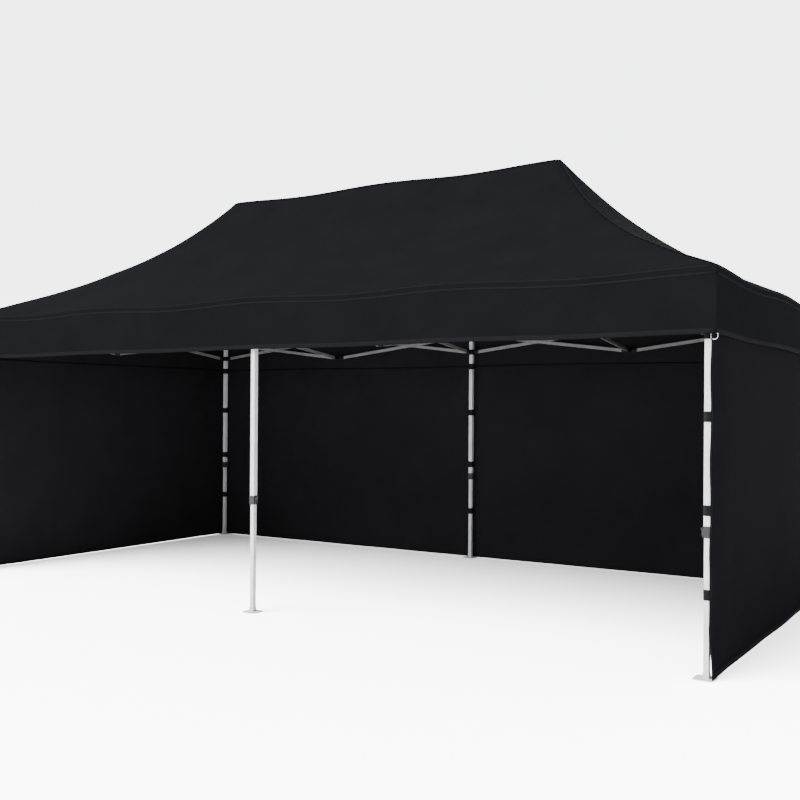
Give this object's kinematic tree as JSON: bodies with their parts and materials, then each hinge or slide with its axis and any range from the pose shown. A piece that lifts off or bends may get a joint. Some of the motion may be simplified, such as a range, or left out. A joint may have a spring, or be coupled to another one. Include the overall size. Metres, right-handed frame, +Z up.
{
  "type": "pop up gazebo",
  "caption": "Folding shelter with a two-peak fabric roof on telescopic square legs, scissor trusses that fold together, and fabric walls on the back and both ends",
  "frame": {"origin": "centre of the footprint, on the ground", "axes": "X along the long side, Y from the open front to the back wall, Z up"},
  "size_m": [6, 3.008, 3.065],
  "materials": {
    "fabric": "woven polyester, matt black",
    "frame": "white powder coat on steel tube",
    "moulded": "black moulded nylon"
  },
  "bodies": {
    "upper_leg_front_left": {"upper_leg_front_left": "frame"},
    "upper_leg_front_middle": {"upper_leg_front_middle": "frame"},
    "upper_leg_front_right": {"upper_leg_front_right": "frame"},
    "upper_leg_back_left": {"upper_leg_back_left": "frame"},
    "upper_leg_back_middle": {"upper_leg_back_middle": "frame"},
    "upper_leg_back_right": {"upper_leg_back_right": "frame"},
    "lower_leg_front_left": {"lower_leg_front_left": "frame"},
    "slider_front_left": {"slider_front_left": "moulded"},
    "lower_leg_front_middle": {"lower_leg_front_middle": "frame"},
    "slider_front_middle": {"slider_front_middle": "moulded"},
    "lower_leg_front_right": {"lower_leg_front_right": "frame"},
    "slider_front_right": {"slider_front_right": "moulded"},
    "lower_leg_back_left": {"lower_leg_back_left": "frame"},
    "slider_back_left": {"slider_back_left": "moulded"},
    "lower_leg_back_middle": {"lower_leg_back_middle": "frame"},
    "slider_back_middle": {"slider_back_middle": "moulded"},
    "lower_leg_back_right": {"lower_leg_back_right": "frame"},
    "slider_back_right": {"slider_back_right": "moulded"},
    "top_joint_front_left": {"top_joint_front_left": "moulded", "peak_truss_left": "frame"},
    "low_joint_front_left": {"low_joint_front_left": "moulded"},
    "top_joint_front_right": {"top_joint_front_right": "moulded", "peak_truss_right": "frame"},
    "low_joint_front_right": {"low_joint_front_right": "moulded"},
    "top_joint_back_left": {"top_joint_back_left": "moulded"},
    "low_joint_back_left": {"low_joint_back_left": "moulded"},
    "top_joint_back_right": {"top_joint_back_right": "moulded"},
    "low_joint_back_right": {"low_joint_back_right": "moulded"},
    "centre_hub": {"centre_hub": "moulded", "canopy": "fabric", "back_wall": "fabric", "end_walls": "fabric"},
    "front_bar_3a": {"front_bar_3a": "frame"},
    "front_bar_3b": {"front_bar_3b": "frame"},
    "front_bar_2a": {"front_bar_2a": "frame"},
    "front_bar_2b": {"front_bar_2b": "frame"},
    "front_bar_4a": {"front_bar_4a": "frame"},
    "front_bar_4b": {"front_bar_4b": "frame"},
    "front_bar_1a": {"front_bar_1a": "frame"},
    "front_bar_1b": {"front_bar_1b": "frame"},
    "centre_bar_1a": {"centre_bar_1a": "frame"},
    "centre_bar_1b": {"centre_bar_1b": "frame"},
    "centre_bar_2a": {"centre_bar_2a": "frame"},
    "centre_bar_2b": {"centre_bar_2b": "frame"},
    "back_bar_3a": {"back_bar_3a": "frame"},
    "back_bar_3b": {"back_bar_3b": "frame"},
    "back_bar_2a": {"back_bar_2a": "frame"},
    "back_bar_2b": {"back_bar_2b": "frame"},
    "back_bar_4a": {"back_bar_4a": "frame"},
    "back_bar_4b": {"back_bar_4b": "frame"},
    "back_bar_1a": {"back_bar_1a": "frame"},
    "back_bar_1b": {"back_bar_1b": "frame"},
    "left_bar_1a": {"left_bar_1a": "frame"},
    "left_bar_1b": {"left_bar_1b": "frame"},
    "left_bar_2a": {"left_bar_2a": "frame"},
    "left_bar_2b": {"left_bar_2b": "frame"},
    "right_bar_1a": {"right_bar_1a": "frame"},
    "right_bar_1b": {"right_bar_1b": "frame"},
    "right_bar_2a": {"right_bar_2a": "frame"},
    "right_bar_2b": {"right_bar_2b": "frame"}
  },
  "joints": [
    {"name": "fold", "type": "hinge", "parent": "upper_leg_front_middle", "child": "front_bar_3b", "pos_m": [0.045, -1.45, 1.984], "axis": [0, 1, 0], "range_deg": [0, 77], "deforming": ["canopy", "back_wall", "end_walls", "peak_truss_left", "peak_truss_right"]},
    {"name": "front_3_crossing", "type": "hinge", "parent": "front_bar_3b", "child": "front_bar_3a", "pos_m": [0.64549, -1.45, 1.91027], "axis": [0, -1, 0], "range_deg": [0, 161]},
    {"name": "top_joint_front_right_pivot", "type": "hinge", "parent": "front_bar_3a", "child": "top_joint_front_right", "pos_m": [1.43, -1.45, 2.00659], "axis": [0, -1, 0], "range_deg": [-84, 0]},
    {"name": "low_joint_front_right_pivot", "type": "hinge", "parent": "front_bar_3b", "child": "low_joint_front_right", "pos_m": [1.43, -1.45, 1.81394], "axis": [0, -1, 0], "range_deg": [0, 84]},
    {"name": "front_middle_slider_pivot", "type": "hinge", "parent": "front_bar_3a", "child": "slider_front_middle", "pos_m": [0.045, -1.45, 1.83654], "axis": [0, -1, 0], "range_deg": [-84, 0]},
    {"name": "front_2_leg_pivot", "type": "hinge", "parent": "upper_leg_front_middle", "child": "front_bar_2b", "pos_m": [-0.045, -1.45, 1.984], "axis": [0, 1, 0], "range_deg": [-84, 0]},
    {"name": "front_2_crossing", "type": "hinge", "parent": "front_bar_2b", "child": "front_bar_2a", "pos_m": [-0.64549, -1.45, 1.91027], "axis": [0, 1, 0], "range_deg": [0, 161]},
    {"name": "top_joint_front_left_pivot", "type": "hinge", "parent": "front_bar_2a", "child": "top_joint_front_left", "pos_m": [-1.43, -1.45, 2.00659], "axis": [0, 1, 0], "range_deg": [-84, 0]},
    {"name": "low_joint_front_left_pivot", "type": "hinge", "parent": "front_bar_2b", "child": "low_joint_front_left", "pos_m": [-1.43, -1.45, 1.81394], "axis": [0, 1, 0], "range_deg": [0, 84]},
    {"name": "front_4_inner_pivot", "type": "hinge", "parent": "top_joint_front_right", "child": "front_bar_4a", "pos_m": [1.52, -1.45, 2.00659], "axis": [0, 1, 0], "range_deg": [0, 84]},
    {"name": "front_4_crossing", "type": "hinge", "parent": "front_bar_4a", "child": "front_bar_4b", "pos_m": [2.30451, -1.45, 1.91027], "axis": [0, 1, 0], "range_deg": [-161, 0]},
    {"name": "front_right_leg_pivot", "type": "hinge", "parent": "front_bar_4b", "child": "upper_leg_front_right", "pos_m": [2.905, -1.45, 1.984], "axis": [0, 1, 0], "range_deg": [0, 84]},
    {"name": "front_right_slider_pivot", "type": "hinge", "parent": "front_bar_4a", "child": "slider_front_right", "pos_m": [2.905, -1.45, 1.83654], "axis": [0, 1, 0], "range_deg": [-84, 0]},
    {"name": "front_1_inner_pivot", "type": "hinge", "parent": "top_joint_front_left", "child": "front_bar_1a", "pos_m": [-1.52, -1.45, 2.00659], "axis": [0, -1, 0], "range_deg": [0, 84]},
    {"name": "front_1_crossing", "type": "hinge", "parent": "front_bar_1a", "child": "front_bar_1b", "pos_m": [-2.30451, -1.45, 1.91027], "axis": [0, -1, 0], "range_deg": [-161, 0]},
    {"name": "front_left_leg_pivot", "type": "hinge", "parent": "front_bar_1b", "child": "upper_leg_front_left", "pos_m": [-2.905, -1.45, 1.984], "axis": [0, -1, 0], "range_deg": [0, 84]},
    {"name": "front_left_slider_pivot", "type": "hinge", "parent": "front_bar_1a", "child": "slider_front_left", "pos_m": [-2.905, -1.45, 1.83654], "axis": [0, -1, 0], "range_deg": [-84, 0]},
    {"name": "centre_1_leg_pivot", "type": "hinge", "parent": "upper_leg_front_middle", "child": "centre_bar_1b", "pos_m": [0, -1.385, 1.984], "axis": [1, 0, 0], "range_deg": [-84, 0]},
    {"name": "centre_1_crossing", "type": "hinge", "parent": "centre_bar_1b", "child": "centre_bar_1a", "pos_m": [0, -0.78451, 1.91027], "axis": [1, 0, 0], "range_deg": [0, 161]},
    {"name": "centre_hub_pivot", "type": "hinge", "parent": "centre_bar_1a", "child": "centre_hub", "pos_m": [0, 0, 2.00659], "axis": [1, 0, 0], "range_deg": [-84, 0]},
    {"name": "centre_2_inner_pivot", "type": "hinge", "parent": "centre_hub", "child": "centre_bar_2a", "pos_m": [0, 0, 2.00659], "axis": [-1, 0, 0], "range_deg": [0, 84]},
    {"name": "centre_2_crossing", "type": "hinge", "parent": "centre_bar_2a", "child": "centre_bar_2b", "pos_m": [0, 0.78451, 1.91027], "axis": [-1, 0, 0], "range_deg": [-161, 0]},
    {"name": "back_middle_leg_pivot", "type": "hinge", "parent": "centre_bar_2b", "child": "upper_leg_back_middle", "pos_m": [0, 1.385, 1.984], "axis": [-1, 0, 0], "range_deg": [0, 84]},
    {"name": "back_middle_slider_pivot", "type": "hinge", "parent": "centre_bar_2a", "child": "slider_back_middle", "pos_m": [0, 1.385, 1.83654], "axis": [-1, 0, 0], "range_deg": [-84, 0]},
    {"name": "back_3_leg_pivot", "type": "hinge", "parent": "upper_leg_back_middle", "child": "back_bar_3b", "pos_m": [0.045, 1.45, 1.984], "axis": [0, -1, 0], "range_deg": [-84, 0]},
    {"name": "back_3_crossing", "type": "hinge", "parent": "back_bar_3b", "child": "back_bar_3a", "pos_m": [0.64549, 1.45, 1.91027], "axis": [0, -1, 0], "range_deg": [0, 161]},
    {"name": "top_joint_back_right_pivot", "type": "hinge", "parent": "back_bar_3a", "child": "top_joint_back_right", "pos_m": [1.43, 1.45, 2.00659], "axis": [0, -1, 0], "range_deg": [-84, 0]},
    {"name": "low_joint_back_right_pivot", "type": "hinge", "parent": "back_bar_3b", "child": "low_joint_back_right", "pos_m": [1.43, 1.45, 1.81394], "axis": [0, -1, 0], "range_deg": [0, 84]},
    {"name": "back_2_leg_pivot", "type": "hinge", "parent": "upper_leg_back_middle", "child": "back_bar_2b", "pos_m": [-0.045, 1.45, 1.984], "axis": [0, 1, 0], "range_deg": [-84, 0]},
    {"name": "back_2_crossing", "type": "hinge", "parent": "back_bar_2b", "child": "back_bar_2a", "pos_m": [-0.64549, 1.45, 1.91027], "axis": [0, 1, 0], "range_deg": [0, 161]},
    {"name": "top_joint_back_left_pivot", "type": "hinge", "parent": "back_bar_2a", "child": "top_joint_back_left", "pos_m": [-1.43, 1.45, 2.00659], "axis": [0, 1, 0], "range_deg": [-84, 0]},
    {"name": "low_joint_back_left_pivot", "type": "hinge", "parent": "back_bar_2b", "child": "low_joint_back_left", "pos_m": [-1.43, 1.45, 1.81394], "axis": [0, 1, 0], "range_deg": [0, 84]},
    {"name": "back_4_inner_pivot", "type": "hinge", "parent": "top_joint_back_right", "child": "back_bar_4a", "pos_m": [1.52, 1.45, 2.00659], "axis": [0, 1, 0], "range_deg": [0, 84]},
    {"name": "back_4_crossing", "type": "hinge", "parent": "back_bar_4a", "child": "back_bar_4b", "pos_m": [2.30451, 1.45, 1.91027], "axis": [0, 1, 0], "range_deg": [-161, 0]},
    {"name": "back_right_leg_pivot", "type": "hinge", "parent": "back_bar_4b", "child": "upper_leg_back_right", "pos_m": [2.905, 1.45, 1.984], "axis": [0, 1, 0], "range_deg": [0, 84]},
    {"name": "back_right_slider_pivot", "type": "hinge", "parent": "back_bar_4a", "child": "slider_back_right", "pos_m": [2.905, 1.45, 1.83654], "axis": [0, 1, 0], "range_deg": [-84, 0]},
    {"name": "back_1_inner_pivot", "type": "hinge", "parent": "top_joint_back_left", "child": "back_bar_1a", "pos_m": [-1.52, 1.45, 2.00659], "axis": [0, -1, 0], "range_deg": [0, 84]},
    {"name": "back_1_crossing", "type": "hinge", "parent": "back_bar_1a", "child": "back_bar_1b", "pos_m": [-2.30451, 1.45, 1.91027], "axis": [0, -1, 0], "range_deg": [-161, 0]},
    {"name": "back_left_leg_pivot", "type": "hinge", "parent": "back_bar_1b", "child": "upper_leg_back_left", "pos_m": [-2.905, 1.45, 1.984], "axis": [0, -1, 0], "range_deg": [0, 84]},
    {"name": "back_left_slider_pivot", "type": "hinge", "parent": "back_bar_1a", "child": "slider_back_left", "pos_m": [-2.905, 1.45, 1.83654], "axis": [0, -1, 0], "range_deg": [-84, 0]},
    {"name": "left_1_leg_pivot", "type": "hinge", "parent": "upper_leg_front_left", "child": "left_bar_1b", "pos_m": [-2.95, -1.385, 1.984], "axis": [1, 0, 0], "range_deg": [-84, 0]},
    {"name": "left_1_crossing", "type": "hinge", "parent": "left_bar_1b", "child": "left_bar_1a", "pos_m": [-2.95, -0.78451, 1.91027], "axis": [1, 0, 0], "range_deg": [0, 161]},
    {"name": "left_2_leg_pivot", "type": "hinge", "parent": "upper_leg_back_left", "child": "left_bar_2b", "pos_m": [-2.95, 1.385, 1.984], "axis": [-1, 0, 0], "range_deg": [-84, 0]},
    {"name": "left_2_crossing", "type": "hinge", "parent": "left_bar_2b", "child": "left_bar_2a", "pos_m": [-2.95, 0.78451, 1.91027], "axis": [-1, 0, 0], "range_deg": [0, 161]},
    {"name": "right_1_leg_pivot", "type": "hinge", "parent": "upper_leg_front_right", "child": "right_bar_1b", "pos_m": [2.95, -1.385, 1.984], "axis": [1, 0, 0], "range_deg": [-84, 0]},
    {"name": "right_1_crossing", "type": "hinge", "parent": "right_bar_1b", "child": "right_bar_1a", "pos_m": [2.95, -0.78451, 1.91027], "axis": [1, 0, 0], "range_deg": [0, 161]},
    {"name": "right_2_leg_pivot", "type": "hinge", "parent": "upper_leg_back_right", "child": "right_bar_2b", "pos_m": [2.95, 1.385, 1.984], "axis": [-1, 0, 0], "range_deg": [-84, 0]},
    {"name": "right_2_crossing", "type": "hinge", "parent": "right_bar_2b", "child": "right_bar_2a", "pos_m": [2.95, 0.78451, 1.91027], "axis": [-1, 0, 0], "range_deg": [0, 161]},
    {"name": "front_left_height", "type": "slide", "parent": "upper_leg_front_left", "child": "lower_leg_front_left", "axis": [0, 0, 1], "range_m": [0, 0.55]},
    {"name": "front_middle_height", "type": "slide", "parent": "upper_leg_front_middle", "child": "lower_leg_front_middle", "axis": [0, 0, 1], "range_m": [0, 0.55]},
    {"name": "front_right_height", "type": "slide", "parent": "upper_leg_front_right", "child": "lower_leg_front_right", "axis": [0, 0, 1], "range_m": [0, 0.55]},
    {"name": "back_left_height", "type": "slide", "parent": "upper_leg_back_left", "child": "lower_leg_back_left", "axis": [0, 0, 1], "range_m": [0, 0.55]},
    {"name": "back_middle_height", "type": "slide", "parent": "upper_leg_back_middle", "child": "lower_leg_back_middle", "axis": [0, 0, 1], "range_m": [0, 0.55]},
    {"name": "back_right_height", "type": "slide", "parent": "upper_leg_back_right", "child": "lower_leg_back_right", "axis": [0, 0, 1], "range_m": [0, 0.55]}
  ],
  "couplings": [
    {"joint": "front_3_crossing", "follows": "fold", "ratio": 2},
    {"joint": "top_joint_front_right_pivot", "follows": "fold", "ratio": -1},
    {"joint": "low_joint_front_right_pivot", "follows": "fold", "ratio": 1},
    {"joint": "front_middle_slider_pivot", "follows": "fold", "ratio": -1},
    {"joint": "front_2_leg_pivot", "follows": "fold", "ratio": -1},
    {"joint": "front_2_crossing", "follows": "fold", "ratio": 2},
    {"joint": "top_joint_front_left_pivot", "follows": "fold", "ratio": -1},
    {"joint": "low_joint_front_left_pivot", "follows": "fold", "ratio": 1},
    {"joint": "front_4_inner_pivot", "follows": "fold", "ratio": 1},
    {"joint": "front_4_crossing", "follows": "fold", "ratio": -2},
    {"joint": "front_right_leg_pivot", "follows": "fold", "ratio": 1},
    {"joint": "front_right_slider_pivot", "follows": "fold", "ratio": -1},
    {"joint": "front_1_inner_pivot", "follows": "fold", "ratio": 1},
    {"joint": "front_1_crossing", "follows": "fold", "ratio": -2},
    {"joint": "front_left_leg_pivot", "follows": "fold", "ratio": 1},
    {"joint": "front_left_slider_pivot", "follows": "fold", "ratio": -1},
    {"joint": "centre_1_leg_pivot", "follows": "fold", "ratio": -1},
    {"joint": "centre_1_crossing", "follows": "fold", "ratio": 2},
    {"joint": "centre_hub_pivot", "follows": "fold", "ratio": -1},
    {"joint": "centre_2_inner_pivot", "follows": "fold", "ratio": 1},
    {"joint": "centre_2_crossing", "follows": "fold", "ratio": -2},
    {"joint": "back_middle_leg_pivot", "follows": "fold", "ratio": 1},
    {"joint": "back_middle_slider_pivot", "follows": "fold", "ratio": -1},
    {"joint": "back_3_leg_pivot", "follows": "fold", "ratio": -1},
    {"joint": "back_3_crossing", "follows": "fold", "ratio": 2},
    {"joint": "top_joint_back_right_pivot", "follows": "fold", "ratio": -1},
    {"joint": "low_joint_back_right_pivot", "follows": "fold", "ratio": 1},
    {"joint": "back_2_leg_pivot", "follows": "fold", "ratio": -1},
    {"joint": "back_2_crossing", "follows": "fold", "ratio": 2},
    {"joint": "top_joint_back_left_pivot", "follows": "fold", "ratio": -1},
    {"joint": "low_joint_back_left_pivot", "follows": "fold", "ratio": 1},
    {"joint": "back_4_inner_pivot", "follows": "fold", "ratio": 1},
    {"joint": "back_4_crossing", "follows": "fold", "ratio": -2},
    {"joint": "back_right_leg_pivot", "follows": "fold", "ratio": 1},
    {"joint": "back_right_slider_pivot", "follows": "fold", "ratio": -1},
    {"joint": "back_1_inner_pivot", "follows": "fold", "ratio": 1},
    {"joint": "back_1_crossing", "follows": "fold", "ratio": -2},
    {"joint": "back_left_leg_pivot", "follows": "fold", "ratio": 1},
    {"joint": "back_left_slider_pivot", "follows": "fold", "ratio": -1},
    {"joint": "left_1_leg_pivot", "follows": "fold", "ratio": -1},
    {"joint": "left_1_crossing", "follows": "fold", "ratio": 2},
    {"joint": "left_2_leg_pivot", "follows": "fold", "ratio": -1},
    {"joint": "left_2_crossing", "follows": "fold", "ratio": 2},
    {"joint": "right_1_leg_pivot", "follows": "fold", "ratio": -1},
    {"joint": "right_1_crossing", "follows": "fold", "ratio": 2},
    {"joint": "right_2_leg_pivot", "follows": "fold", "ratio": -1},
    {"joint": "right_2_crossing", "follows": "fold", "ratio": 2}
  ]
}
